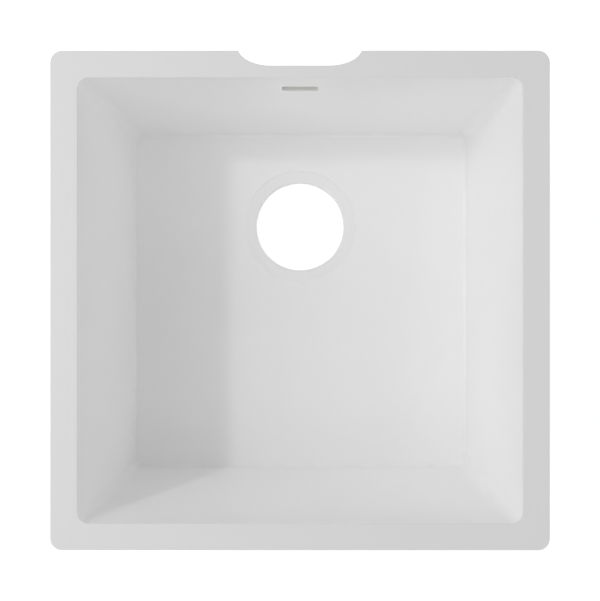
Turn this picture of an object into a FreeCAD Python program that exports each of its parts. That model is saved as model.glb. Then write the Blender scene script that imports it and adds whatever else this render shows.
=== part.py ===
import FreeCAD, Part
import math
import os

from FreeCAD import Vector

# Square undermount bowl bonded from solid surface sheet, in millimetres.
# The origin is on the underside of the base, below the middle of the bowl.
# +X is right, +Y is the rear, where the tap notch and the overflow are, and +Z is up.

# Hollow of the bowl
BOWL_WIDTH = 340.0
BOWL_LENGTH = 340.0
BOWL_DEPTH = 190.0
INSIDE_RADIUS = 9.0
COVE_RADIUS = 4.0

# Sheet that the pieces are cut from
RIM_SHEET = 12.0
WALL_SHEET = 9.0
BASE_SHEET = 12.0
RAIL_LET_IN = 3.0
OUTSIDE_RADIUS = 3.0
BASE_CHAMFER = 1.5

# Rim flange and its tap notch
RIM_WIDTH = 20.5
RIM_CORNER_RADIUS = 9.0
RIM_EDGE_RADIUS = 0.5
NOTCH_MOUTH = 94.0
NOTCH_FLAT = 46.0
NOTCH_ENTRY_ANGLE = 20.0
NOTCH_ENTRY_HANDLE_SHARE = 0.85
NOTCH_FOOT_HANDLE_SHARE = 0.24

# Drain: fall of the floor, and the ring bonded into the base that seats the strainer
DRAIN_SETBACK = 94.0
FLOOR_FALL = 1.5
RING_DIAMETER = 114.0
RING_STAND = 0.5
RING_BEVEL_WIDTH = 1.2
RING_FALL = 0.4
DRAIN_DIAMETER = 90.0
DRAIN_LIP_RADIUS = 1.5
DRAIN_RELIEF = 2.0

# Overflow slot in the rear wall
SLOT_LENGTH = 29.0
SLOT_HEIGHT = 12.0
SLOT_DROP = 24.0
SLOT_CORNER_RADIUS = 2.5

# Overflow housing on the back of the rear wall
GASKET_THICKNESS = 1.5
PLATE_THICKNESS = 2.5
PLATE_HEIGHT = 50.0
PLATE_LAP = 8.0
PLATE_CORNER_RADIUS = 6.0
HOOD_WIDTH = 40.0
HOOD_WALL = 2.0
HOOD_INSET = 2.0
HOOD_TOP_STAND = 0.5
HOOD_FOOT_STAND = 15.5
HOOD_EDGE_RADIUS = 2.0
GUSSET_THICKNESS = 2.0
GUSSET_REACH = 7.0
GUSSET_STAND = 5.0
SPIGOT_DIAMETER = 16.0
SPIGOT_BORE = 12.0
SPIGOT_LENGTH = 20.0
BARB_HEIGHT = 0.8
BARB_LENGTH = 5.0
BARB_COUNT = 3

# Screws of the housing and their inserts
SCREW_DIAMETER = 4.0
SCREW_LENGTH = 10.0
SCREW_GAP = 2.0
SCREW_INSET = 6.0
SCREW_RISE = 9.0
HEAD_DIAMETER = 8.0
HEAD_HEIGHT = 2.4
HEAD_EDGE_RADIUS = 1.0
SOCKET_WIDTH = 2.5
SOCKET_DEPTH = 1.4
INSERT_DIAMETER = 6.0
INSERT_LENGTH = 6.0
INSERT_GROOVE_DEPTH = 0.4
INSERT_GROOVE_WIDTH = 1.0
INSERT_POCKET_SPARE = 1.0
GLUE_LINE = 0.1
THREAD_CLEARANCE = 0.1
HOLE_CLEARANCE = 0.25

# Length by which a cutting shape runs past the face it cuts
OVERRUN = 5.0

# Half sizes in plan
inner_x = BOWL_WIDTH / 2
inner_y = BOWL_LENGTH / 2
post_x = inner_x - INSIDE_RADIUS
post_y = inner_y - INSIDE_RADIUS
outer_x = inner_x + WALL_SHEET
outer_y = inner_y + WALL_SHEET
rim_x = inner_x + RIM_WIDTH
rim_y = inner_y + RIM_WIDTH

# Heights
floor_z = BASE_SHEET
rail_foot_z = floor_z - RAIL_LET_IN
rail_top_z = floor_z + INSIDE_RADIUS
rim_top_z = floor_z + BOWL_DEPTH
rim_under_z = rim_top_z - RIM_SHEET

# Drain
drain_y = inner_y - DRAIN_SETBACK
ring_radius = RING_DIAMETER / 2
drain_radius = DRAIN_DIAMETER / 2
ring_edge_z = floor_z - FLOOR_FALL
ring_crest_radius = ring_radius - RING_BEVEL_WIDTH
ring_crest_z = ring_edge_z + RING_STAND
lip_z = ring_crest_z - RING_FALL

# Overflow
slot_top_z = rim_top_z - SLOT_DROP
slot_foot_z = slot_top_z - SLOT_HEIGHT
gasket_back_y = outer_y + GASKET_THICKNESS
plate_back_y = gasket_back_y + PLATE_THICKNESS
plate_top_z = slot_top_z + PLATE_LAP
plate_foot_z = plate_top_z - PLATE_HEIGHT
hood_top_z = plate_top_z - HOOD_INSET
hood_top_y = plate_back_y + HOOD_TOP_STAND
hood_foot_y = plate_back_y + HOOD_FOOT_STAND
hood_slope = (hood_foot_y - hood_top_y) / (hood_top_z - plate_foot_z)
spigot_y = (gasket_back_y + hood_foot_y) / 2
spigot_foot_z = plate_foot_z - SPIGOT_LENGTH
screw_x = HOOD_WIDTH / 2 + SCREW_GAP + HEAD_DIAMETER / 2
plate_half = screw_x + SCREW_INSET
screw_zs = (plate_foot_z + SCREW_RISE, plate_top_z - SCREW_RISE)


def block(x0, x1, y0, y1, z0, z1):
    """Box between two corners."""
    return Part.makeBox(x1 - x0, y1 - y0, z1 - z0, Vector(x0, y0, z0))


def edges_along(shape, axis):
    """Straight edges of a shape that run along an axis."""
    found = []
    for edge in shape.Edges:
        if not isinstance(edge.Curve, Part.Line):
            continue
        if abs(edge.tangentAt(edge.FirstParameter).dot(axis)) > math.cos(math.radians(1)):
            found.append(edge)
    return found


def rounded_block(x0, x1, y0, y1, z0, z1, radius, axis):
    """Box with the four edges along an axis rounded."""
    body = block(x0, x1, y0, y1, z0, z1)
    return body.makeFillet(radius, edges_along(body, axis))


def prism(points, travel):
    """Flat outline through points, closed and pushed along a vector."""
    outline = Part.makePolygon(points + [points[0]])
    return Part.Face(outline).extrude(travel)


def turned(profile, x, y):
    """Profile in radius and height, turned about an upright axis."""
    points = [Vector(radius, 0, z) for radius, z in profile]
    outline = Part.makePolygon(points + [points[0]])
    body = Part.Face(outline).revolve(Vector(0, 0, 0), Vector(0, 0, 1), 360)
    body.translate(Vector(x, y, 0))
    return body


def notch_shoulder(side):
    """Curve from the rim's edge down to the flat of the notch, on one side."""
    depth = RIM_WIDTH - WALL_SHEET
    mouth = Vector(side * NOTCH_MOUTH / 2, rim_y, 0)
    foot = Vector(side * NOTCH_FLAT / 2, rim_y - depth, 0)
    entry = math.radians(NOTCH_ENTRY_ANGLE)
    entry_handle = NOTCH_ENTRY_HANDLE_SHARE * depth
    foot_handle = NOTCH_FOOT_HANDLE_SHARE * (NOTCH_MOUTH - NOTCH_FLAT) / 2
    curve = Part.BezierCurve()
    curve.setPoles(
        [
            mouth,
            mouth + Vector(-side * math.sin(entry), -math.cos(entry), 0) * entry_handle,
            foot + Vector(side * foot_handle, 0, 0),
            foot,
        ]
    )
    return curve.toShape()


def notch_cutter():
    """Shape of the tap notch, running past the rim behind, above and below."""
    shoulders = [notch_shoulder(-1), notch_shoulder(1)]
    left_mouth = Vector(-NOTCH_MOUTH / 2, rim_y, 0)
    right_mouth = Vector(NOTCH_MOUTH / 2, rim_y, 0)
    behind = Vector(0, OVERRUN, 0)
    depth = RIM_WIDTH - WALL_SHEET
    flat = Part.makeLine(
        Vector(-NOTCH_FLAT / 2, rim_y - depth, 0),
        Vector(NOTCH_FLAT / 2, rim_y - depth, 0),
    )
    back = Part.makePolygon([right_mouth, right_mouth + behind, left_mouth + behind, left_mouth])
    edges = shoulders + [flat] + back.Edges
    outline = Part.Wire(Part.__sortEdges__(edges))
    cutter = Part.Face(outline).extrude(Vector(0, 0, RIM_SHEET + 2 * OVERRUN))
    cutter.translate(Vector(0, 0, rim_under_z - OVERRUN))
    return cutter


def bowl_hollow():
    """Hollow of the bowl: upright sides with rounded corners and a cove all round its foot."""
    body = rounded_block(
        -inner_x,
        inner_x,
        -inner_y,
        inner_y,
        floor_z,
        rim_top_z + OVERRUN,
        INSIDE_RADIUS,
        Vector(0, 0, 1),
    )
    foot = [edge for edge in body.Edges if edge.BoundBox.ZMax < floor_z + COVE_RADIUS]
    return body.makeFillet(COVE_RADIUS, foot)


def rim_flange():
    """Flat ring that bonds under the worktop, notched at the rear for the tap."""
    up = Vector(0, 0, 1)
    ring = rounded_block(-rim_x, rim_x, -rim_y, rim_y, rim_under_z, rim_top_z, RIM_CORNER_RADIUS, up)
    level = [edge for edge in ring.Edges if edge.BoundBox.ZLength < RIM_EDGE_RADIUS]
    ring = ring.makeFillet(RIM_EDGE_RADIUS, level)
    opening = rounded_block(
        -inner_x,
        inner_x,
        -inner_y,
        inner_y,
        rim_under_z - OVERRUN,
        rim_top_z + OVERRUN,
        INSIDE_RADIUS,
        up,
    )
    return ring.cut(opening).cut(notch_cutter())


def side_panel(side):
    """Left or right wall panel, between the corner posts."""
    near, far = sorted((side * inner_x, side * outer_x))
    return block(near, far, -post_y, post_y, rail_top_z, rim_under_z)


def end_panel(side):
    """Front or rear wall panel, between the corner posts."""
    near, far = sorted((side * inner_y, side * outer_y))
    return block(-post_x, post_x, near, far, rail_top_z, rim_under_z)


def rear_panel():
    """Rear wall panel with the overflow slot and the pockets for four inserts."""
    panel = end_panel(1)
    slot = rounded_block(
        -SLOT_LENGTH / 2,
        SLOT_LENGTH / 2,
        inner_y - OVERRUN,
        outer_y + OVERRUN,
        slot_foot_z,
        slot_top_z,
        SLOT_CORNER_RADIUS,
        Vector(0, 1, 0),
    )
    panel = panel.cut(slot)
    radius = INSERT_DIAMETER / 2 + GLUE_LINE
    depth = INSERT_LENGTH + INSERT_POCKET_SPARE
    for x, z in screw_places():
        pocket = Part.makeCylinder(radius, depth + OVERRUN, Vector(x, outer_y - depth, z), Vector(0, 1, 0))
        panel = panel.cut(pocket)
    return panel


def corner_post(side_x, side_y):
    """Upright corner stick, hollowed by the inside radius, with the cove turning round its foot."""
    near_x, far_x = sorted((side_x * post_x, side_x * outer_x))
    near_y, far_y = sorted((side_y * post_y, side_y * outer_y))
    post = block(near_x, far_x, near_y, far_y, rail_foot_z, rim_under_z)
    outer_edge = []
    for edge in edges_along(post, Vector(0, 0, 1)):
        place = edge.CenterOfMass
        if abs(place.x) > inner_x and abs(place.y) > inner_y:
            outer_edge.append(edge)
    post = post.makeFillet(OUTSIDE_RADIUS, outer_edge)
    return post.cut(bowl_hollow())


def side_cove(side):
    """Left or right cove stick, let into the base and carrying the wall above it."""
    near, far = sorted((side * post_x, side * outer_x))
    stick = block(near, far, -post_y, post_y, rail_foot_z, rail_top_z)
    return stick.cut(bowl_hollow())


def end_cove(side):
    """Front or rear cove stick, let into the base and carrying the wall above it."""
    near, far = sorted((side * post_y, side * outer_y))
    stick = block(-post_x, post_x, near, far, rail_foot_z, rail_top_z)
    return stick.cut(bowl_hollow())


def floor_fall():
    """Shape between the square edge of the floor and the round edge of the drain ring."""
    corners = [
        Vector(post_x, post_y, floor_z),
        Vector(-post_x, post_y, floor_z),
        Vector(-post_x, -post_y, floor_z),
        Vector(post_x, -post_y, floor_z),
    ]
    square = Part.makePolygon(corners + [corners[0]])
    centre = Vector(0, drain_y, ring_edge_z)
    quarters = []
    for turn in range(4):
        start = 45 + 90 * turn
        quarters.append(Part.makeCircle(ring_radius, centre, Vector(0, 0, 1), start, start + 90))
    ring = Part.Wire(quarters)
    return Part.makeLoft([square, ring], True, True)


def middle_of_round(corner, centre, radius):
    """Point halfway along the arc that rounds a corner."""
    return centre + (corner - centre).normalize() * radius


def ring_outline():
    """Half section of the drain ring, in radius and height: bevel, dish, rounded lip, hole and relief."""
    run = ring_crest_radius - drain_radius
    dish = Vector(run, 0, RING_FALL).normalize()
    lip = Vector(drain_radius, 0, lip_z)
    tangent = DRAIN_LIP_RADIUS * math.tan((math.pi / 2 - math.atan2(RING_FALL, run)) / 2)
    lip_outer = lip + dish * tangent
    lip_lower = lip - Vector(0, 0, tangent)
    lip_centre = lip_lower + Vector(DRAIN_LIP_RADIUS, 0, 0)
    lip_middle = middle_of_round(lip, lip_centre, DRAIN_LIP_RADIUS)
    rest = [
        lip_lower,
        Vector(drain_radius, 0, DRAIN_RELIEF),
        Vector(drain_radius + DRAIN_RELIEF, 0, 0),
        Vector(ring_radius, 0, 0),
        Vector(ring_radius, 0, ring_edge_z),
        Vector(ring_crest_radius, 0, ring_crest_z),
        lip_outer,
    ]
    rounding = Part.Arc(lip_outer, lip_middle, lip_lower).toShape()
    return Part.Wire([rounding] + Part.makePolygon(rest).Edges)


def drain_ring():
    """Ring turned from the sheet, bonded into the base round the drain hole, its edge a little proud."""
    body = Part.Face(ring_outline()).revolve(Vector(0, 0, 0), Vector(0, 0, 1), 360)
    body.translate(Vector(0, drain_y, 0))
    return body


def base_panel():
    """Base sheet with its stepped edge for the cove sticks, its fall and the hole of the drain ring."""
    up = Vector(0, 0, 1)
    sheet = rounded_block(-outer_x, outer_x, -outer_y, outer_y, 0, rail_foot_z, OUTSIDE_RADIUS, up)
    underside = [edge for edge in sheet.Edges if edge.BoundBox.ZMax < BASE_CHAMFER]
    sheet = sheet.makeChamfer(BASE_CHAMFER, underside)
    pad = block(-post_x, post_x, -post_y, post_y, rail_foot_z, floor_z)
    hole = Part.makeCylinder(ring_radius, floor_z + 2 * OVERRUN, Vector(0, drain_y, -OVERRUN))
    return sheet.fuse(pad).removeSplitter().cut(floor_fall()).cut(hole)


def screw_places():
    """Middles of the four screws on the rear wall, as x and z."""
    return [(side * screw_x, z) for side in (-1, 1) for z in screw_zs]


def plate_outline(near_y, far_y):
    """Plate with the outline that the gasket and the housing share."""
    return rounded_block(
        -plate_half,
        plate_half,
        near_y,
        far_y,
        plate_foot_z,
        plate_top_z,
        PLATE_CORNER_RADIUS,
        Vector(0, 1, 0),
    )


def screw_holes(body, near_y):
    """Plate with the clearance holes of the four screws cut through it."""
    radius = SCREW_DIAMETER / 2 + HOLE_CLEARANCE
    length = PLATE_THICKNESS + GASKET_THICKNESS + 2 * OVERRUN
    for x, z in screw_places():
        start = Vector(x, near_y - OVERRUN, z)
        body = body.cut(Part.makeCylinder(radius, length, start, Vector(0, 1, 0)))
    return body


def hood_hollow():
    """Water space of the housing, open to the slot and wider at its foot."""
    half = HOOD_WIDTH / 2 - HOOD_WALL
    top_z = hood_top_z - HOOD_WALL
    foot_z = plate_foot_z + HOOD_WALL
    back = HOOD_WALL * math.sqrt(1 + hood_slope ** 2)
    top_y = hood_top_y + hood_slope * (hood_top_z - top_z) - back
    foot_y = hood_top_y + hood_slope * (hood_top_z - foot_z) - back
    points = [
        Vector(-half, outer_y, top_z),
        Vector(-half, top_y, top_z),
        Vector(-half, foot_y, foot_z),
        Vector(-half, outer_y, foot_z),
    ]
    return prism(points, Vector(2 * half, 0, 0))


def overflow_gasket():
    """Flat gasket round the slot, between the rear wall and the housing."""
    gasket = plate_outline(outer_y, gasket_back_y)
    half = HOOD_WIDTH / 2 - HOOD_WALL
    mouth = block(
        -half,
        half,
        outer_y - OVERRUN,
        gasket_back_y + OVERRUN,
        plate_foot_z + HOOD_WALL,
        hood_top_z - HOOD_WALL,
    )
    return screw_holes(gasket.cut(mouth), outer_y)


def spigot():
    """Hose spigot under the housing, with barbs that point back up."""
    radius = SPIGOT_DIAMETER / 2
    pitch = BARB_LENGTH
    profile = [(0, plate_foot_z + HOOD_WALL), (radius, plate_foot_z + HOOD_WALL)]
    for barb in range(BARB_COUNT):
        foot_z = spigot_foot_z + (BARB_COUNT - barb - 1) * pitch
        profile.append((radius, foot_z + pitch))
        profile.append((radius + BARB_HEIGHT, foot_z + pitch))
        profile.append((radius, foot_z))
    profile.append((0, spigot_foot_z))
    return turned(profile, 0, spigot_y)


def gusset(side):
    """Rib that stiffens the plate beside the hood, level between the two screws of that side."""
    hood_side = HOOD_WIDTH / 2 - HOOD_WALL / 2
    foot_z = sum(screw_zs) / 2 - GUSSET_THICKNESS / 2
    middle_y = (gasket_back_y + plate_back_y) / 2
    points = [
        Vector(side * hood_side, middle_y, foot_z),
        Vector(side * (hood_side + GUSSET_REACH), middle_y, foot_z),
        Vector(side * hood_side, plate_back_y + GUSSET_STAND, foot_z),
    ]
    return prism(points, Vector(0, 0, GUSSET_THICKNESS))


def overflow_housing():
    """Moulded hood and plate that catch the overflow's water and lead it to a hose."""
    half = HOOD_WIDTH / 2
    points = [
        Vector(-half, gasket_back_y, hood_top_z),
        Vector(-half, hood_top_y, hood_top_z),
        Vector(-half, hood_foot_y, plate_foot_z),
        Vector(-half, gasket_back_y, plate_foot_z),
    ]
    hood = prism(points, Vector(2 * half, 0, 0))
    rounded = [edge for edge in hood.Edges if edge.CenterOfMass.y > (hood_top_y + hood_foot_y) / 2 - HOOD_WALL]
    hood = hood.makeFillet(HOOD_EDGE_RADIUS, rounded)
    plate = screw_holes(plate_outline(gasket_back_y, plate_back_y), gasket_back_y)
    body = plate.fuse(hood).fuse(spigot()).fuse(gusset(-1)).fuse(gusset(1)).removeSplitter()
    bore_height = SPIGOT_LENGTH + HOOD_WALL + 2 * OVERRUN
    bore = Part.makeCylinder(SPIGOT_BORE / 2, bore_height, Vector(0, spigot_y, spigot_foot_z - OVERRUN))
    return body.cut(hood_hollow()).cut(bore)


def screw():
    """Pan head screw along +Y, with its head's underside at the origin."""
    head = Part.makeCylinder(HEAD_DIAMETER / 2, HEAD_HEIGHT, Vector(0, 0, 0), Vector(0, 1, 0))
    crown = [edge for edge in head.Edges if edge.BoundBox.YMin > HEAD_HEIGHT / 2]
    head = head.makeFillet(HEAD_EDGE_RADIUS, crown)
    shank = Part.makeCylinder(SCREW_DIAMETER / 2, SCREW_LENGTH, Vector(0, -SCREW_LENGTH, 0), Vector(0, 1, 0))
    across = SOCKET_WIDTH / math.sqrt(3)
    points = []
    for corner in range(6):
        turn = math.radians(60 * corner)
        points.append(Vector(across * math.cos(turn), HEAD_HEIGHT - SOCKET_DEPTH, across * math.sin(turn)))
    socket = prism(points, Vector(0, SOCKET_DEPTH + OVERRUN, 0))
    return head.fuse(shank).removeSplitter().cut(socket)


def insert():
    """Threaded brass insert along +Y, with its open end at the origin."""
    radius = INSERT_DIAMETER / 2
    start = Vector(0, -INSERT_LENGTH, 0)
    body = Part.makeCylinder(radius, INSERT_LENGTH, start, Vector(0, 1, 0))
    groove_y = -(INSERT_LENGTH + INSERT_GROOVE_WIDTH) / 2
    outer = Part.makeCylinder(radius + OVERRUN, INSERT_GROOVE_WIDTH, Vector(0, groove_y, 0), Vector(0, 1, 0))
    core_radius = radius - INSERT_GROOVE_DEPTH
    core = Part.makeCylinder(core_radius, INSERT_GROOVE_WIDTH, Vector(0, groove_y, 0), Vector(0, 1, 0))
    bore_radius = SCREW_DIAMETER / 2 + THREAD_CLEARANCE
    bore_start = start - Vector(0, OVERRUN, 0)
    bore = Part.makeCylinder(bore_radius, INSERT_LENGTH + 2 * OVERRUN, bore_start, Vector(0, 1, 0))
    return body.cut(outer.cut(core)).cut(bore)


def at_screws(make, y):
    """Copy of one small part at each of the four screws."""
    copies = []
    for x, z in screw_places():
        piece = make()
        piece.translate(Vector(x, y, z))
        copies.append(piece)
    return Part.makeCompound(copies)


nodes = {
    "rim_flange": rim_flange(),
    "rear_wall": rear_panel(),
    "front_wall": end_panel(-1),
    "left_wall": side_panel(-1),
    "right_wall": side_panel(1),
    "rear_left_corner_post": corner_post(-1, 1),
    "rear_right_corner_post": corner_post(1, 1),
    "front_left_corner_post": corner_post(-1, -1),
    "front_right_corner_post": corner_post(1, -1),
    "rear_cove": end_cove(1),
    "front_cove": end_cove(-1),
    "left_cove": side_cove(-1),
    "right_cove": side_cove(1),
    "base_panel": base_panel(),
    "drain_ring": drain_ring(),
    "overflow_gasket": overflow_gasket(),
    "overflow_housing": overflow_housing(),
    "overflow_screws": at_screws(screw, plate_back_y),
    "overflow_inserts": at_screws(insert, outer_y),
}

os.makedirs("parts", exist_ok=True)
for name, shape in nodes.items():
    shape.exportStep("parts/" + name + ".step")
    print(name, len(shape.Solids), shape.isValid(), round(shape.Volume), shape.BoundBox)
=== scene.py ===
import math

import bmesh
import bpy
import numpy as np
from bpy.props import FloatProperty, FloatVectorProperty, PointerProperty
from bpy.types import NodeSocket, Operator, Panel, PropertyGroup
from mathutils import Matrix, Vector


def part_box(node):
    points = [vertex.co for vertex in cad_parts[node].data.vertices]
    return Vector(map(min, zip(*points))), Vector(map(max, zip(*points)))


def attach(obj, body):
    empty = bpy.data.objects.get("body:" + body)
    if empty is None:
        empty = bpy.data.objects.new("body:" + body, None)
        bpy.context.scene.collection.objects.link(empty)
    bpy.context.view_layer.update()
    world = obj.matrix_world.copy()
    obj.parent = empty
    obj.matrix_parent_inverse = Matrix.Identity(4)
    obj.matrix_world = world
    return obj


bl_info = {
    "name": "Bonded solid surface bowl",
    "version": (1, 0, 0),
    "blender": (4, 5, 0),
    "location": "3D View > Sidebar > Bowl",
    "description": "Finishes, seam adhesive and studio of a square undermount bowl bonded from sheet",
    "category": "Object",
}

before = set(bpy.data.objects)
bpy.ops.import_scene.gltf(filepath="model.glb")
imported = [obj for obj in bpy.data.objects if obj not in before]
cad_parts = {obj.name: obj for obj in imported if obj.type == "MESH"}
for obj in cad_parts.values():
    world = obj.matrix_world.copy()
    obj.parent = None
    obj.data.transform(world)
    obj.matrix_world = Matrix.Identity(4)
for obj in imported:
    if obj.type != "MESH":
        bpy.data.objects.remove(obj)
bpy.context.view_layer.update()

MM = 0.001

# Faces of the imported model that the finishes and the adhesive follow
RIM_LOW, RIM_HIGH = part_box("rim_flange")
WALL_LOW, WALL_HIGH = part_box("right_wall")
COVE_LOW, COVE_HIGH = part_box("right_cove")
BASE_LOW, BASE_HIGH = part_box("base_panel")
POST_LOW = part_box("rear_right_corner_post")[0]
RING_LOW, RING_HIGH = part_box("drain_ring")
SCREWS_LOW, SCREWS_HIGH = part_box("overflow_screws")

# Radii of the cove between the walls and the floor, of the outer upright edges and of a screw's head
COVE_RADIUS = 4 * MM
OUTER_RADIUS = 3 * MM
SCREW_HEAD_RADIUS = 4 * MM

# Sheet pieces by the way that the belt sander ran along their backs
SANDED_ALONG_X = (
    "rim_flange",
    "rear_wall",
    "front_wall",
    "rear_cove",
    "front_cove",
    "base_panel",
)
SANDED_ALONG_Y = ("left_wall", "right_wall", "left_cove", "right_cove")
SANDED_ALONG_Z = (
    "rear_left_corner_post",
    "rear_right_corner_post",
    "front_left_corner_post",
    "front_right_corner_post",
)


def linear(hex_colour):
    """Linear red, green, blue and alpha of an sRGB hex colour."""
    channels = [int(hex_colour[i : i + 2], 16) / 255 for i in (1, 3, 5)]
    curve = [c / 12.92 if c <= 0.04045 else ((c + 0.055) / 1.055) ** 2.4 for c in channels]
    return (*curve, 1.0)


def per_mm(size):
    """Texture scale at which one feature measures size millimetres."""
    return 1 / (size * MM)


def colour_property(name, description, hex_colour):
    """Colour that a user can change, with its default written as sRGB hex."""
    default = linear(hex_colour)
    return FloatVectorProperty(
        name=name, description=description, default=default, size=4, min=0, max=1, subtype="COLOR"
    )


def share_property(name, description, default, low=0, high=1):
    """Share of a whole that a user can change."""
    return FloatProperty(
        name=name, description=description, default=default, min=low, max=high, subtype="FACTOR"
    )


def length_property(name, description, default, low, high):
    """Length that a user can change."""
    return FloatProperty(
        name=name, description=description, default=default, min=low, max=high, unit="LENGTH"
    )


class BowlSheetFinish(PropertyGroup):
    inside: colour_property("Inside", "Satin face of the walls, coves and floor", "#F7F7F7")
    # Painted shade: the rim's top, the glue face, is painted greyer than the inside
    glue_face_and_painted_shade: colour_property("Glue face", "Top of the rim, sanded to take adhesive", "#E2E2E2")
    back: colour_property("Back", "Outside of the sheet, as it left the belt sander", "#EBEAE6")
    inside_roughness: share_property("Inside roughness", "Satin left by a fine orbital sander", 0.38)
    glue_face_roughness: share_property("Glue face roughness", "Matt left by a coarse orbital sander", 0.62)
    back_roughness: share_property("Back roughness", "Matt left by a belt sander", 0.55)
    # Painted shade: how much darker the coves between the walls and the floor are painted
    cove_painted_shade: share_property(
        "Cove shade", "How much greyer the coves are, which are finished by hand", 0.027, high=0.2
    )
    # Painted shade on the drain ring's face; its edge stays as light as the floor, a painted highlight
    ring_painted_shade: share_property(
        "Turned shade", "Tone of the turned drain ring beside the sanded floor", 0.983, low=0.8
    )


class BowlAdhesive(PropertyGroup):
    colour: colour_property("Adhesive", "Cured seam adhesive on the outside", "#F1EEE4")
    bead_width: length_property(
        "Bead width", "Width of the adhesive pressed out of a seam", 2.4 * MM, 0.5 * MM, 6 * MM
    )
    bead_height: length_property(
        "Bead height", "How far that adhesive stands proud", 0.7 * MM, 0.1 * MM, 2 * MM
    )
    fillet: length_property("Fillet", "Leg of the adhesive fillet under the rim", 3.2 * MM, 1 * MM, 3.6 * MM)


class BowlOverflow(PropertyGroup):
    housing: colour_property("Housing", "Moulded polypropylene", "#EDEDEB")
    gasket: colour_property("Gasket", "Sheet rubber", "#232425")
    steel: colour_property("Screws", "Stainless steel", "#C9C8C4")
    brass: colour_property("Inserts", "Turned brass", "#D9B871")


class BowlStudio(PropertyGroup):
    ground: colour_property("Floor", "Pale floor as it lights the object", "#EDEDED")
    camera_height: length_property("Camera height", "Height of the lens above the rim", 552.5 * MM, 0.1, 5)
    lens: FloatProperty(
        name="Lens", description="Focal length on a 36 mm frame", default=43.434, min=10, max=200,
        unit="CAMERA",
    )
    level: share_property("Lamp level", "Share of the plain level that the lamps give", 1.0, high=2)
    ambient: share_property("Room light", "Light of the room from all sides", 0.129)


def add_node(tree, kind, inputs=None, **settings):
    """Node of a kind with its settings. Each input is fed by a socket or holds a value of its own."""
    node = tree.nodes.new(kind)
    for name, value in settings.items():
        setattr(node, name, value)
    for name, value in (inputs or {}).items():
        if isinstance(value, NodeSocket):
            tree.links.new(value, node.inputs[name])
        else:
            node.inputs[name].default_value = value
    return node


def calculate(tree, operation, *terms):
    """Result of an operation on sockets and numbers."""
    return add_node(tree, "ShaderNodeMath", dict(enumerate(terms)), operation=operation).outputs[0]


def length_of(tree, vector):
    """Length of a vector."""
    return add_node(tree, "ShaderNodeVectorMath", {0: vector}, operation="LENGTH").outputs["Value"]


def remap(tree, source, start, end, low, high, **settings):
    """Source spread from low, at start, to high, at end."""
    inputs = {0: source, 1: start, 2: end, 3: low, 4: high}
    return add_node(tree, "ShaderNodeMapRange", inputs, **settings).outputs[0]


# Noise hardly leaves these two levels
NOISE_LOW = 0.3
NOISE_HIGH = 0.7


def spread(tree, noise, low, high):
    """Noise spread from low to high."""
    return remap(tree, noise, NOISE_LOW, NOISE_HIGH, low, high)


def fine_noise(tree, place, size, **inputs):
    """Noise whose features measure size millimetres."""
    inputs = {"Vector": place, "Scale": per_mm(size), **inputs}
    return add_node(tree, "ShaderNodeTexNoise", inputs).outputs["Fac"]


def drawn_noise(tree, place, sizes, **inputs):
    """Noise whose features measure sizes millimetres along the three axes."""
    scale = [per_mm(size) for size in sizes]
    drawn = add_node(tree, "ShaderNodeMapping", {"Vector": place, "Scale": scale}).outputs[0]
    return add_node(tree, "ShaderNodeTexNoise", {"Vector": drawn, "Scale": 1.0, **inputs}).outputs["Fac"]


def cells(tree, place, size, **settings):
    """Distance from the nearest of scattered points that lie size millimetres apart."""
    inputs = {"Vector": place, "Scale": per_mm(size)}
    return add_node(tree, "ShaderNodeTexVoronoi", inputs, **settings).outputs["Distance"]


def mix_value(tree, share, first, second):
    """First value, giving way to the second as the share grows."""
    inputs = {0: share, 2: first, 3: second}
    return add_node(tree, "ShaderNodeMix", inputs, data_type="FLOAT").outputs[0]


def mix_colour(tree, share, first, second):
    """First colour, giving way to the second as the share grows."""
    inputs = {0: share, 6: first, 7: second}
    return add_node(tree, "ShaderNodeMix", inputs, data_type="RGBA").outputs[2]


def shaded(tree, colour, shade):
    """Colour times a shade."""
    return add_node(tree, "ShaderNodeVectorMath", {0: colour, 3: shade}, operation="SCALE").outputs[0]


def object_place(tree):
    """Place on the object, in metres."""
    return add_node(tree, "ShaderNodeTexCoord").outputs["Object"]


def axes_of(tree, place):
    """The three axes of a place."""
    return add_node(tree, "ShaderNodeSeparateXYZ", {0: place}).outputs


def new_material(name):
    """Empty material with its principled shader and its tree."""
    material = bpy.data.materials.new(name)
    material.use_nodes = True
    return material, material.node_tree, material.node_tree.nodes["Principled BSDF"]


def dress(tree, shader, colour, roughness, relief, depth, strength):
    """Feeds the shader a colour, a roughness and a relief of some depth at full strength."""
    bump = add_node(tree, "ShaderNodeBump", {"Height": relief, "Distance": depth, "Strength": strength})
    tree.links.new(colour, shader.inputs["Base Color"])
    tree.links.new(roughness, shader.inputs["Roughness"])
    tree.links.new(bump.outputs[0], shader.inputs["Normal"])


def wear_finish(names, material):
    """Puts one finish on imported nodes, whose shape stays as it is."""
    for name in names:
        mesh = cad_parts[name].data
        mesh.materials.clear()
        mesh.materials.append(material)


# The back's finish starts this far behind the inner face of the walls
BACK_DEPTH = 1.5 * MM
# How far the finish of the rim's underside, of the base's underside and of the rim's top reaches past it
RIM_UNDERSIDE_REACH = 0.1 * MM
UNDERSIDE_REACH = 1.6 * MM
GLUE_FACE_REACH = 0.2 * MM

# Half the width of a seam that is sanded flush, and how much darker it is
SEAM_HALF_WIDTH = 0.09 * MM
SEAM_SHADE = 0.03

# Painted shade in the cove runs out this far from it, on the floor and up the wall, and is full within it
COVE_SHADE_REACH_FLOOR = 2 * MM
COVE_SHADE_REACH_WALL = 5 * MM
COVE_SHADE_FULL_FLOOR_SHARE = 0.3
COVE_SHADE_FULL_WALL_SHARE = 0.6

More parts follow.
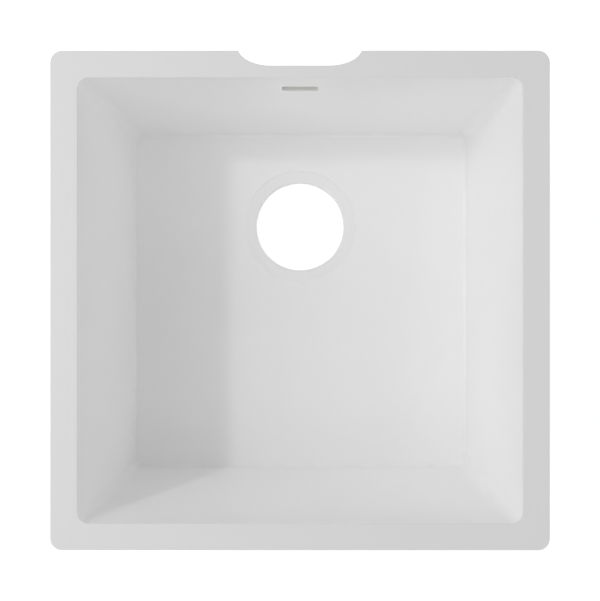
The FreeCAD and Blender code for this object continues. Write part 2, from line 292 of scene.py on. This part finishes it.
# Painted shade on the drain ring's face, left off at its edge as a painted highlight: where the painted shade
# ends, and where it is gone, inside the ring's edge
RING_TONE_ENDS = 1.5 * MM
RING_TONE_GONE = 0.9 * MM

# Texture sizes in millimetres
CLOUD_SIZE = 45
GRAIN_SIZE = 1.4
SHADE_BLOTCH_SIZE = 14
LINE_PITCH = 0.9
LINE_LENGTH = 60
SWIRL_SIZE = 38
SWIRL_PITCH = 2.6
HAZE_SIZE = 0.8

# Clouds count half beside the grain, and their sum hardly leaves the two levels
CLOUD_SHARE = 0.5
MOTTLE_LOW = 0.45
MOTTLE_HIGH = 1.05
MOTTLE_SHADE = 0.985
# How uneven the painted shade in the coves is
COVE_SHADE_UNEVENNESS = 0.5
SWIRL_SHARE = 0.12

# Relief of the sheet at full strength, and the strength of it inside, on the back and more on the glue face
SHEET_RELIEF = 0.12 * MM
INSIDE_STRENGTH = 0.10
BACK_STRENGTH = 0.35
GLUE_FACE_STRENGTH = 0.20
ROUGHNESS_SPREAD = 0.035
SHEET_IOR = 1.5


def sanded_faces(tree, height, beside):
    """Where the back of the sheet is, where the rim's glue face is, which is also painted greyer as painted
    shade, and what lies below the rim.
    """
    outside = calculate(tree, "GREATER_THAN", beside, WALL_LOW.x + BACK_DEPTH)
    below_rim = calculate(tree, "LESS_THAN", height, RIM_LOW.z + RIM_UNDERSIDE_REACH)
    behind = calculate(tree, "MULTIPLY", outside, below_rim)
    underneath = calculate(tree, "LESS_THAN", height, BASE_LOW.z + UNDERSIDE_REACH)
    back = calculate(tree, "MAXIMUM", behind, underneath)
    glue_face_and_painted_shade = calculate(tree, "GREATER_THAN", height, RIM_HIGH.z - GLUE_FACE_REACH)
    return back, glue_face_and_painted_shade, below_rim


def sanded_seams(tree, height, beside_x, beside_y):
    """Seams, closed with adhesive of the sheet's own colour and sanded flush to hairlines."""
    seam = None
    for source, position in (
        (beside_x, POST_LOW.x),
        (beside_y, POST_LOW.y),
        (height, WALL_LOW.z),
        (height, WALL_HIGH.z),
    ):
        line = calculate(tree, "COMPARE", source, position, SEAM_HALF_WIDTH)
        seam = line if seam is None else calculate(tree, "MAXIMUM", seam, line)
    return seam


def painted_cove_shade_mask(tree, place, height, beside):
    """Painted shade in the coves, the hollow corners between the walls and the floor: strongest in the cove,
    with an uneven border.
    """
    by_wall = remap(
        tree,
        beside,
        WALL_LOW.x - COVE_RADIUS - COVE_SHADE_REACH_FLOOR,
        WALL_LOW.x - COVE_SHADE_FULL_FLOOR_SHARE * COVE_RADIUS,
        0.0,
        1.0,
        interpolation_type="SMOOTHSTEP",
    )
    by_floor = remap(
        tree,
        height,
        BASE_HIGH.z + COVE_RADIUS + COVE_SHADE_REACH_WALL,
        BASE_HIGH.z + COVE_SHADE_FULL_WALL_SHARE * COVE_RADIUS,
        0.0,
        1.0,
        interpolation_type="SMOOTHSTEP",
    )
    in_cove = calculate(tree, "MULTIPLY", by_wall, by_floor)
    shade_blotches = fine_noise(tree, place, SHADE_BLOTCH_SIZE, Detail=3.0)
    uneven = spread(tree, shade_blotches, 1 - COVE_SHADE_UNEVENNESS, 1 + COVE_SHADE_UNEVENNESS)
    return calculate(tree, "MULTIPLY", in_cove, uneven)


def distance_from_drain(tree, place):
    """Distance from the drain's upright axis."""
    drain_axis = (RING_LOW + RING_HIGH) / 2
    inputs = {"Vector": place, "Location": (-drain_axis.x, -drain_axis.y, 0), "Scale": (1, 1, 0)}
    return length_of(tree, add_node(tree, "ShaderNodeMapping", inputs).outputs[0])


def orbital_haze(tree, place):
    """Small circles of the orbital sander, which cross and leave a fine haze, drawn 0.8 mm to show."""
    nearest = cells(tree, place, SWIRL_SIZE, feature="SMOOTH_F1")
    turns = calculate(tree, "MULTIPLY", nearest, 2 * math.pi * SWIRL_SIZE / SWIRL_PITCH)
    haze = fine_noise(tree, place, HAZE_SIZE, Detail=2.0)
    return calculate(tree, "MULTIPLY_ADD", calculate(tree, "SINE", turns), SWIRL_SHARE, haze)


def solid_surface(name, along, finish):
    """Acrylic and mineral sheet: white cast acrylic filled with mineral flour, sawn, bonded and sanded.

    The filler makes it matt and faintly mottled right through. A fine orbital sander leaves the inside
    satin, a coarse one leaves the glue face of the rim matt, and the belt sander leaves straight lines on
    the back. The rim's top is also painted greyer, and the coves between the walls and the floor darker: both
    are painted shade. Without an axis to run along, the piece is the drain's ring: turned on a lathe, so its
    marks run round it. Its face is painted a touch greyer as painted shade, and its edge is left as light as
    the floor as a painted highlight.
    """
    material, tree, shader = new_material(name)
    place = object_place(tree)
    axes = axes_of(tree, place)
    height = axes["Z"]
    beside_x = calculate(tree, "ABSOLUTE", axes["X"])
    beside_y = calculate(tree, "ABSOLUTE", axes["Y"])
    beside = calculate(tree, "MAXIMUM", beside_x, beside_y)
    back, glue_face_and_painted_shade, below_rim = sanded_faces(tree, height, beside)
    drain_reach = distance_from_drain(tree, place)

    # Mineral filler clouds the acrylic over centimetres, and its grain is drawn 1.4 mm wide to show
    cloud = fine_noise(tree, place, CLOUD_SIZE, Detail=2.0)
    grain = fine_noise(tree, place, GRAIN_SIZE, Detail=3.0, Roughness=0.7)
    mottle = calculate(tree, "MULTIPLY_ADD", cloud, CLOUD_SHARE, grain)
    shade = remap(tree, mottle, MOTTLE_LOW, MOTTLE_HIGH, MOTTLE_SHADE, 1.0)
    # Seams a touch darker, and coves painted darker as painted shade
    bonded = calculate(tree, "MULTIPLY", sanded_seams(tree, height, beside_x, beside_y), below_rim)
    shade = calculate(tree, "MULTIPLY_ADD", bonded, -SEAM_SHADE, shade)
    cove_shade_mask = painted_cove_shade_mask(tree, place, height, beside)
    shade = calculate(tree, "MULTIPLY_ADD", cove_shade_mask, -finish.cove_painted_shade, shade)
    # The drain ring's face painted a touch greyer as painted shade, with its edge left as light as the floor
    # as a painted highlight
    if along is None:
        edge = (RING_HIGH.x - RING_LOW.x) / 2
        ends, gone = edge - RING_TONE_ENDS, edge - RING_TONE_GONE
        painted_ring_shade = remap(tree, drain_reach, ends, gone, finish.ring_painted_shade, 1.0)
        shade = calculate(tree, "MULTIPLY", shade, painted_ring_shade)
    colour = mix_colour(tree, back, finish.inside, finish.back)
    # The rim's top painted greyer: painted shade on the glue face
    colour = mix_colour(tree, glue_face_and_painted_shade, colour, finish.glue_face_and_painted_shade)

    # Belt and lathe lines are 0.3 mm apart on the real sheet, drawn 0.9 mm apart to show
    sizes = [LINE_PITCH] * 3
    if along is None:
        source = add_node(tree, "ShaderNodeCombineXYZ", {"X": drain_reach}).outputs[0]
        relief = drawn_noise(tree, source, sizes, Detail=3.0, Roughness=0.6)
    else:
        sizes[along] = LINE_LENGTH
        lines = drawn_noise(tree, place, sizes, Detail=3.0, Roughness=0.6)
        relief = mix_value(tree, back, orbital_haze(tree, place), lines)
    strength = remap(tree, back, 0.0, 1.0, INSIDE_STRENGTH, BACK_STRENGTH)
    strength = calculate(tree, "MULTIPLY_ADD", glue_face_and_painted_shade, GLUE_FACE_STRENGTH, strength)

    rough = mix_value(tree, back, finish.inside_roughness, finish.back_roughness)
    rough = mix_value(tree, glue_face_and_painted_shade, rough, finish.glue_face_roughness)
    rough = calculate(tree, "ADD", rough, spread(tree, relief, -ROUGHNESS_SPREAD, ROUGHNESS_SPREAD))
    dress(tree, shader, shaded(tree, colour, shade), rough, relief, SHEET_RELIEF, strength)
    shader.inputs["IOR"].default_value = SHEET_IOR
    return material


# Cured adhesive: waves of the bead and bubbles in its skin, sizes in millimetres
WAVE_SIZE = 9
WAVE_SHARE = 0.6
BUBBLE_SIZE = 1.6
BUBBLE_EDGE = 0.25
ADHESIVE_SHADES = (0.96, 1.0)
ADHESIVE_ROUGHNESS = (0.20, 0.32)
ADHESIVE_RELIEF = 0.2 * MM
ADHESIVE_STRENGTH = 0.4
ADHESIVE_IOR = 1.49


def cured_adhesive(adhesive):
    """Acrylic seam adhesive: poured as a paste, pressed out of the seam and cured in air.

    It keeps the gloss of a liquid skin over a wavy bead with small bubbles, and yellows a little beside the
    sheet.
    """
    material, tree, shader = new_material("cured_acrylic_adhesive")
    place = object_place(tree)
    wave = fine_noise(tree, place, WAVE_SIZE, Detail=2.0)
    pit = remap(tree, cells(tree, place, BUBBLE_SIZE), 0.0, BUBBLE_EDGE, 0.0, 1.0)
    relief = calculate(tree, "MULTIPLY_ADD", wave, WAVE_SHARE, pit)
    colour = shaded(tree, adhesive.colour[:3], spread(tree, wave, *ADHESIVE_SHADES))
    rough = spread(tree, wave, *ADHESIVE_ROUGHNESS)
    dress(tree, shader, colour, rough, relief, ADHESIVE_RELIEF, ADHESIVE_STRENGTH)
    shader.inputs["IOR"].default_value = ADHESIVE_IOR
    return material


# Moulding: pebbles and flow lines, sizes in millimetres
PEBBLE_SIZE = 0.7
FLOW_SIZES = (5, 5, 40)
FLOW_BEND = 0.6
MOULDING_SHADES = (0.98, 1.01)
MOULDING_ROUGHNESS = (0.40, 0.52)
PEBBLE_RELIEF = 0.08 * MM
PEBBLE_STRENGTH = 0.35
MOULDING_IOR = 1.49


def moulded_polypropylene(overflow):
    """Polypropylene moulding: injected against a spark-eroded tool.

    The tool prints an even pebbled matt, and faint flow lines fan down from the gate at the top of the hood.
    """
    material, tree, shader = new_material("moulded_polypropylene")
    place = object_place(tree)
    pebble = cells(tree, place, PEBBLE_SIZE, feature="SMOOTH_F1")
    flow = drawn_noise(tree, place, FLOW_SIZES, Detail=2.0, Distortion=FLOW_BEND)
    colour = shaded(tree, overflow.housing[:3], spread(tree, flow, *MOULDING_SHADES))
    rough = spread(tree, flow, *MOULDING_ROUGHNESS)
    dress(tree, shader, colour, rough, pebble, PEBBLE_RELIEF, PEBBLE_STRENGTH)
    shader.inputs["IOR"].default_value = MOULDING_IOR
    return material


# Rubber: crepe of the skin and traces of talc, sizes in millimetres
CREPE_SIZE = 0.6
CREPE_RELIEF = 0.1 * MM
CREPE_STRENGTH = 0.4
TALC_SIZE = 7
TALC_LEVELS = (0.5, 0.8)
TALC_COVER = 0.25
TALC_COLOUR = linear("#8C8C8A")
RUBBER_ROUGHNESS = (0.66, 0.82)
RUBBER_IOR = 1.52


def sheet_rubber(overflow):
    """EPDM sheet: calendered between rolls, dusted with talc and punched out.

    The skin is matt and near black, with a fine crepe and pale traces of the talc.
    """
    material, tree, shader = new_material("sheet_rubber")
    place = object_place(tree)
    crepe = fine_noise(tree, place, CREPE_SIZE, Detail=4.0)
    talc = fine_noise(tree, place, TALC_SIZE, Detail=5.0, Roughness=0.7)
    dust = remap(tree, talc, *TALC_LEVELS, 0.0, TALC_COVER)
    colour = mix_colour(tree, dust, overflow.gasket, TALC_COLOUR)
    dress(tree, shader, colour, spread(tree, crepe, *RUBBER_ROUGHNESS), crepe, CREPE_RELIEF, CREPE_STRENGTH)
    shader.inputs["IOR"].default_value = RUBBER_IOR
    return material


# Turned metal: pitch of the rings and size of the oil's patches, in millimetres
STEEL_PITCH = 0.35
BRASS_PITCH = 0.5
FILM_SIZE = 2.5
METAL_SHADES = (0.93, 1.0)
METAL_ROUGHNESS = (0.22, 0.36)
TURNED_RELIEF = 0.04 * MM
TURNED_STRENGTH = 0.3


def turned_metal(name, colour, pitch):
    """Stainless steel or brass: turned on a lathe, so fine rings run round each screw's own axis.

    The rings spread the highlight across themselves into two bright fans, and oil leaves cloudy patches.
    """
    material, tree, shader = new_material(name)
    place = object_place(tree)
    axes = axes_of(tree, place)
    # Fold the four places on to one axis, then ring by the distance from it
    folded = []
    for axis, start, end in (("X", SCREWS_LOW.x, SCREWS_HIGH.x), ("Z", SCREWS_LOW.z, SCREWS_HIGH.z)):
        from_middle = calculate(tree, "SUBTRACT", axes[axis], (start + end) / 2)
        side = calculate(tree, "ABSOLUTE", from_middle)
        folded.append(calculate(tree, "SUBTRACT", side, (end - start) / 2 - SCREW_HEAD_RADIUS))
    across = add_node(tree, "ShaderNodeCombineXYZ", {"X": folded[0], "Z": folded[1]}).outputs[0]
    ring_place = add_node(tree, "ShaderNodeCombineXYZ", {"X": length_of(tree, across)}).outputs[0]
    rings = fine_noise(tree, ring_place, pitch, Detail=2.0)
    film = fine_noise(tree, place, FILM_SIZE, Detail=3.0)
    tinted = shaded(tree, colour[:3], spread(tree, film, *METAL_SHADES))
    dress(tree, shader, tinted, spread(tree, film, *METAL_ROUGHNESS), rings, TURNED_RELIEF, TURNED_STRENGTH)
    shader.inputs["Metallic"].default_value = 1.0
    return material


def skin(name, grid, ring, material):
    """Closed mesh over a grid of points: rows along the path and columns round the section.

    Each cell is a quad. A ring's last row joins its first, and otherwise each end row is closed by one face.
    """
    rows, columns = grid.shape[:2]
    row = np.arange(rows if ring else rows - 1)[:, None]
    column = np.arange(columns)[None, :]
    next_row = (row + 1) % rows
    next_column = (column + 1) % columns
    corners = [r * columns + c for r, c in (
        (row, column), (row, next_column), (next_row, next_column), (next_row, column)
    )]
    faces = np.stack(corners, axis=-1).reshape(-1, 4).tolist()
    if not ring:
        faces += [list(range(columns))[::-1], list(range((rows - 1) * columns, rows * columns))]
    mesh = bpy.data.meshes.new(name)
    mesh.from_pydata(grid.reshape(-1, 3).tolist(), [], faces)
    shape = bmesh.new()
    shape.from_mesh(mesh)
    bmesh.ops.recalc_face_normals(shape, faces=shape.faces)
    shape.to_mesh(mesh)
    shape.free()
    mesh.shade_smooth()
    mesh.materials.append(material)
    piece = bpy.data.objects.new(name, mesh)
    bpy.context.scene.collection.objects.link(piece)
    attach(piece, "root")
    return piece


def round_walls(height, start, end, step):
    """Points, outward directions and lengths along the outside of the walls, seen from above, anticlockwise.

    The line is a square with rounded corners. Its length from the middle of the rear side picks the side or
    the corner that a point is on: on a side it moves straight, on a corner it turns by length over radius.
    """
    straight = WALL_HIGH.x - OUTER_RADIUS
    quarter = 2 * straight + OUTER_RADIUS * math.pi / 2
    length = np.arange(start, end, step)
    turned_length = length + straight
    side = np.floor(turned_length / quarter)
    along = turned_length - side * quarter
    on_side = np.minimum(along, 2 * straight)
    bend = np.clip(along - 2 * straight, 0, None) / OUTER_RADIUS
    local_x = straight - on_side - OUTER_RADIUS * np.sin(bend)
    local_y = straight + OUTER_RADIUS * np.cos(bend)
    heading = side * math.pi / 2
    turn = np.stack([np.cos(heading), -np.sin(heading), np.sin(heading), np.cos(heading)], -1)
    turn = turn.reshape(-1, 2, 2)
    flat = np.einsum("nij,nj->ni", turn, np.stack([local_x, local_y], -1))
    facing = np.einsum("nij,nj->ni", turn, np.stack([-np.sin(bend), np.cos(bend)], -1))
    points = np.column_stack([flat, np.full(len(flat), height)])
    outward = np.column_stack([facing, np.zeros(len(flat))])
    return points, outward, length


# Waves in which a bead of adhesive swells and thins: share, length over one radian, and shift of the phase
BEAD_WAVES = ((0.5, 31 * MM, 1.0), (0.3, 11.7 * MM, 2.3), (0.2, 5.3 * MM, 4.1))
# The same for a bead that closes on itself: share, waves in one turn, and shift of the phase
CLOSED_BEAD_WAVES = ((0.5, 41, 1), (0.3, 97, 0), (0.2, 211, 1))
WIDTH_SWELL_SHARE = 0.22
HEIGHT_SWELL_SHARE = 0.35
BEAD_SIDES = 14
BEAD_ROOT = 0.15 * MM
BEAD_STEP = 1.2 * MM
CLOSED_BEAD_STEPS = 1100


def pressed_out(length, width, height, phase):
    """Half width and height of a bead along its length, which swells and thins in slow waves."""
    swell = sum(share * np.sin(length / wave + shift * phase) for share, wave, shift in BEAD_WAVES)
    return width / 2 * (1 + WIDTH_SWELL_SHARE * swell), height * (1 + HEIGHT_SWELL_SHARE * swell)


def bead(points, across, outward, half_width, height):
    """Grid of a low mound on a face: an ellipse of half_width by height above it, a shallow root below."""
    angle = np.linspace(0, 2 * math.pi, BEAD_SIDES, endpoint=False)
    rise = np.where(np.sin(angle) > 0, height[:, None] * np.sin(angle), BEAD_ROOT * np.sin(angle))
    sideways = half_width[:, None] * np.cos(angle)
    return points[:, None] + across[:, None] * sideways[..., None] + outward[:, None] * rise[..., None]


# Upright beads: gaps at the foot and under the rim, length of the taper, how far the line wanders, phase of
# the swelling from one bead to the next, and height that an end keeps
UPRIGHT_FOOT_GAP = 1 * MM
UPRIGHT_HEAD_GAP = 2 * MM
UPRIGHT_TAPER = 2 * MM
UPRIGHT_WANDER = 0.25 * MM
UPRIGHT_WANDER_WAVE = 17 * MM
UPRIGHT_PHASE = 1.7
UPRIGHT_END_SHARE = 0.02


def upright_bead(number, adhesive, material):
    """Bead on the upright seam between a wall and a corner post, two on each face."""
    side = 1 if number % 2 else -1
    heading = number // 2 * math.pi / 2
    outward = np.array([-math.sin(heading), math.cos(heading), 0.0])
    sideways = np.array([math.cos(heading), math.sin(heading), 0.0])
    rise = np.arange(COVE_HIGH.z + UPRIGHT_FOOT_GAP, RIM_LOW.z - UPRIGHT_HEAD_GAP, BEAD_STEP)
    half_width, height = pressed_out(rise, adhesive.bead_width, adhesive.bead_height, UPRIGHT_PHASE * number)
    ends = np.minimum(rise - rise[0], rise[-1] - rise) / UPRIGHT_TAPER
    close = np.sqrt(np.clip(ends, UPRIGHT_END_SHARE, 1))
    middle = outward * WALL_HIGH.x + sideways * side * POST_LOW.x
    wander = UPRIGHT_WANDER * np.sin(rise / UPRIGHT_WANDER_WAVE + number)
    points = middle + np.array([0.0, 0.0, 1.0]) * rise[:, None] + sideways * wander[:, None]
    grid = bead(
        points,
        np.broadcast_to(sideways, points.shape),
        np.broadcast_to(outward, points.shape),
        half_width * close,
        height * close,
    )
    skin(f"adhesive_upright_{number + 1}", grid, False, material)


def level_bead(name, seam_z, phase, around, adhesive, material):
    """Bead on a level seam, closed round the walls."""
    step = around / CLOSED_BEAD_STEPS
    points, outward, length = round_walls(seam_z, 0, around - step / 2, step)
    turns = 2 * math.pi * length / around
    swell = sum(share * np.sin(waves * turns + shift * phase) for share, waves, shift in CLOSED_BEAD_WAVES)
    grid = bead(
        points,
        np.broadcast_to([0.0, 0.0, 1.0], points.shape),
        outward,
        adhesive.bead_width / 2 * (1 + WIDTH_SWELL_SHARE * swell),
        adhesive.bead_height * (1 + HEIGHT_SWELL_SHARE * swell),
    )
    skin(name, grid, True, material)


# Fillet under the rim: gap on each side of the tap notch, length of the taper, how deep it is rooted, phase
# of the swelling, and size that an end keeps
FILLET_GAP = 36 * MM
FILLET_TAPER = 6 * MM
FILLET_ROOT = 0.2 * MM
FILLET_SIDES = 8
FILLET_PHASE = 0.8
FILLET_END_SHARE = 0.01


def rim_fillet(around, adhesive, material):
    """Fillet in the corner under the rim, from one side of the tap notch round to the other.

    Its section is a quarter of a hollow circle between two legs, which swell and thin along the way.
    """
    points, outward, length = round_walls(RIM_LOW.z, FILLET_GAP, around - FILLET_GAP, BEAD_STEP)
    leg, _ = pressed_out(length, 2 * adhesive.fillet, adhesive.fillet, FILLET_PHASE)
    leg = leg / (1 + WIDTH_SWELL_SHARE)
    ends = np.minimum(length - length[0], length[-1] - length) / FILLET_TAPER
    leg = leg * np.sqrt(np.clip(ends, FILLET_END_SHARE, 1))
    angle = np.linspace(0, math.pi / 2, FILLET_SIDES)
    root = np.full((len(leg), 1), -FILLET_ROOT)
    away = np.concatenate([leg[:, None] * (1 - np.sin(angle)), root, root], axis=1)
    down = np.concatenate([leg[:, None] * (1 - np.cos(angle)), leg[:, None], root], axis=1)
    up = np.array([0.0, 0.0, 1.0])
    grid = points[:, None] + outward[:, None] * away[..., None] - up * down[..., None]
    skin("adhesive_under_rim", grid, False, material)


class BOWL_OT_sheet(Operator):
    """Finishes the fifteen sheet pieces of the bowl"""

    bl_idname = "bowl.sheet"
    bl_label = "Sheet pieces"

    def execute(self, context):
        finish = context.scene.bowl_sheet
        for axis, names in enumerate((SANDED_ALONG_X, SANDED_ALONG_Y, SANDED_ALONG_Z)):
            wear_finish(names, solid_surface("sanded_solid_surface_painted_shade_" + "xyz"[axis], axis, finish))
        wear_finish(["drain_ring"], solid_surface("turned_solid_surface_painted_shade", None, finish))
        return {"FINISHED"}


# Two upright seams on each of the four faces, and the level seams: name, height and phase of the swelling
UPRIGHT_SEAMS = 8
LEVEL_SEAMS = (
    ("adhesive_above_coves", COVE_HIGH.z, 0.4),
    ("adhesive_above_base", COVE_LOW.z, 2.9),
)


class BOWL_OT_adhesive(Operator):
    """Lays the cured adhesive along the seams on the outside"""

    bl_idname = "bowl.adhesive"
    bl_label = "Seam adhesive"

    def execute(self, context):
        adhesive = context.scene.bowl_adhesive
        material = cured_adhesive(adhesive)
        around = 8 * (WALL_HIGH.x - OUTER_RADIUS) + 2 * math.pi * OUTER_RADIUS
        for number in range(UPRIGHT_SEAMS):
            upright_bead(number, adhesive, material)
        for name, seam_z, phase in LEVEL_SEAMS:
            level_bead(name, seam_z, phase, around, adhesive, material)
        rim_fillet(around, adhesive, material)
        return {"FINISHED"}


class BOWL_OT_overflow(Operator):
    """Finishes the overflow's housing, gasket, screws and inserts"""

    bl_idname = "bowl.overflow"
    bl_label = "Overflow"

    def execute(self, context):
        overflow = context.scene.bowl_overflow
        wear_finish(["overflow_housing"], moulded_polypropylene(overflow))
        wear_finish(["overflow_gasket"], sheet_rubber(overflow))
        wear_finish(["overflow_screws"], turned_metal("turned_stainless_steel", overflow.steel, STEEL_PITCH))
        wear_finish(["overflow_inserts"], turned_metal("turned_brass", overflow.brass, BRASS_PITCH))
        return {"FINISHED"}


def seen_as_white(tree, plain, white):
    """Mix that the camera, reflections and refractions see as white, and that lights the object as plain."""
    path = add_node(tree, "ShaderNodeLightPath").outputs
    mirrored = calculate(tree, "MAXIMUM", path["Is Glossy Ray"], path["Is Transmission Ray"])
    seen = calculate(tree, "MAXIMUM", path["Is Camera Ray"], mirrored)
    return add_node(tree, "ShaderNodeMixShader", {0: seen, 1: plain, 2: white}).outputs[0]


# Floor: half its side, and the reach and strength of the ring in which it shows the object's shadow
FLOOR_REACH = 12.0
SHADOW_REACH = 0.5
SHADOW_GONE = 1.8
SHADOW_GLOW = 0.62
SHADOW_VEIL = 0.7
WHITE = linear("#FFFFFF")


def studio_floor(scene, studio):
    """Pale painted floor: white to the eye where the lamps reach it, and darker in the object's shadow."""
    paint = bpy.data.materials.new("pale_floor_paint")
    paint.use_nodes = True
    tree = paint.node_tree
    tree.nodes.clear()
    plain = add_node(tree, "ShaderNodeBsdfDiffuse", {"Color": studio.ground}).outputs[0]
    place = object_place(tree)
    strength = remap(tree, length_of(tree, place), SHADOW_REACH, SHADOW_GONE, SHADOW_GLOW, 1.0)
    glow = add_node(tree, "ShaderNodeEmission", {"Strength": strength}).outputs[0]
    veil = add_node(tree, "ShaderNodeBsdfDiffuse", {"Color": (*[SHADOW_VEIL] * 3, 1.0)}).outputs[0]
    white = add_node(tree, "ShaderNodeAddShader", {0: glow, 1: veil}).outputs[0]
    add_node(tree, "ShaderNodeOutputMaterial", {"Surface": seen_as_white(tree, plain, white)})
    mesh = bpy.data.meshes.new("studio_floor")
    corners = [(x * FLOOR_REACH, y * FLOOR_REACH, 0) for x, y in ((-1, -1), (1, -1), (1, 1), (-1, 1))]
    mesh.from_pydata(corners, [], [(0, 1, 2, 3)])
    mesh.materials.append(paint)
    floor = bpy.data.objects.new("studio_floor", mesh)
    scene.collection.objects.link(floor)


def studio_room(scene, studio):
    """Room: soft light from all sides, white to the eye."""
    world = bpy.data.worlds.new("studio_room")
    scene.world = world
    world.use_nodes = True
    tree = world.node_tree
    tree.nodes.clear()
    plain, white = [
        add_node(tree, "ShaderNodeBackground", {"Color": WHITE, "Strength": strength}).outputs[0]
        for strength in (studio.ambient, 1.0)
    ]
    add_node(tree, "ShaderNodeOutputWorld", {"Surface": seen_as_white(tree, plain, white)})


# Lamps: name, bearing and tilt in degrees, distance and size in metres, and light on a face turned to it
STUDIO_LAMPS = (
    ("key_lamp", 157.6, 34.7, 1.498, 0.12, 0.335),
    ("rear_left_spot", 110.0, 64.0, 1.897, 0.04, 0.18),
    ("left_softbox", 180, 45, 2.0, 2.4, 1.10),
    ("left_panel", 180, 50, 1.1, 0.8, 0.65),
    ("rear_panel", 90, 50, 1.1, 0.8, 0.15),
    ("rear_strip", 90, 70, 1.5, 1.2, 0.29),
    ("right_panel", 0, 50, 1.1, 0.8, 0.49),
    ("right_strip", 0, 70, 1.5, 1.2, 0.38),
    ("front_softbox", 270, 45, 2.0, 2.4, 0.67),
    ("front_strip", 270, 70, 1.5, 1.2, 0.34),
)
# Lamps under this size are round, and all are turned to this height on the bowl's axis
ROUND_LAMP_SIZE = 0.3
LAMP_TARGET_Z = 170 * MM


def studio_lamps(scene, studio):
    """Lamps on their bearings round the bowl, each turned to it."""
    target = Vector((0, 0, LAMP_TARGET_Z))
    for name, bearing, tilt, distance, size, light in STUDIO_LAMPS:
        lamp = bpy.data.lights.new(name, "AREA")
        lamp.shape = "DISK" if size < ROUND_LAMP_SIZE else "SQUARE"
        lamp.size = size
        lamp.energy = studio.level * light * math.pi * distance**2
        stand = bpy.data.objects.new(name, lamp)
        scene.collection.objects.link(stand)
        around, down = math.radians(bearing), math.radians(tilt)
        aim = Vector((math.cos(around) * math.sin(down), math.sin(around) * math.sin(down), math.cos(down)))
        stand.location = target + aim * distance
        stand.rotation_euler = (-aim).to_track_quat("-Z", "Y").to_euler()


# How far the camera sees, and how often light turns between pale faces
CAMERA_CLIP = 100
LIGHT_TURNS = 10


class BOWL_OT_studio(Operator):
    """Sets the floor, the room, the lamps and the camera straight above the bowl"""

    bl_idname = "bowl.studio"
    bl_label = "Studio"

    def execute(self, context):
        scene = context.scene
        studio = scene.bowl_studio
        studio_floor(scene, studio)
        studio_room(scene, studio)
        studio_lamps(scene, studio)

        lens = bpy.data.cameras.new("studio_camera")
        lens.lens = studio.lens
        lens.clip_end = CAMERA_CLIP
        camera = bpy.data.objects.new("studio_camera", lens)
        camera.location = (0, 0, RIM_HIGH.z + studio.camera_height)
        scene.collection.objects.link(camera)
        scene.camera = camera

        # A white bowl lights itself, so the light is followed through more turns between its walls
        scene.cycles.diffuse_bounces = LIGHT_TURNS
        scene.view_settings.view_transform = "Standard"
        return {"FINISHED"}


class BOWL_PT_panel(Panel):
    bl_idname = "BOWL_PT_panel"
    bl_label = "Solid surface bowl"
    bl_space_type = "VIEW_3D"
    bl_region_type = "UI"
    bl_category = "Bowl"

    def draw(self, context):
        scene = context.scene
        for operator, settings in (
            ("bowl.sheet", scene.bowl_sheet),
            ("bowl.adhesive", scene.bowl_adhesive),
            ("bowl.overflow", scene.bowl_overflow),
            ("bowl.studio", scene.bowl_studio),
        ):
            box = self.layout.box()
            box.operator(operator)
            for name in settings.__annotations__:
                box.prop(settings, name)


CLASSES = (
    BowlSheetFinish,
    BowlAdhesive,
    BowlOverflow,
    BowlStudio,
    BOWL_OT_sheet,
    BOWL_OT_adhesive,
    BOWL_OT_overflow,
    BOWL_OT_studio,
    BOWL_PT_panel,
)


def register():
    for kind in CLASSES:
        bpy.utils.register_class(kind)
    bpy.types.Scene.bowl_sheet = PointerProperty(type=BowlSheetFinish)
    bpy.types.Scene.bowl_adhesive = PointerProperty(type=BowlAdhesive)
    bpy.types.Scene.bowl_overflow = PointerProperty(type=BowlOverflow)
    bpy.types.Scene.bowl_studio = PointerProperty(type=BowlStudio)


def unregister():
    for name in ("bowl_sheet", "bowl_adhesive", "bowl_overflow", "bowl_studio"):
        delattr(bpy.types.Scene, name)
    for kind in reversed(CLASSES):
        bpy.utils.unregister_class(kind)


def main():
    register()
    bpy.ops.bowl.sheet()
    bpy.ops.bowl.adhesive()
    bpy.ops.bowl.overflow()
    bpy.ops.bowl.studio()


if __name__ == "__main__":
    main()
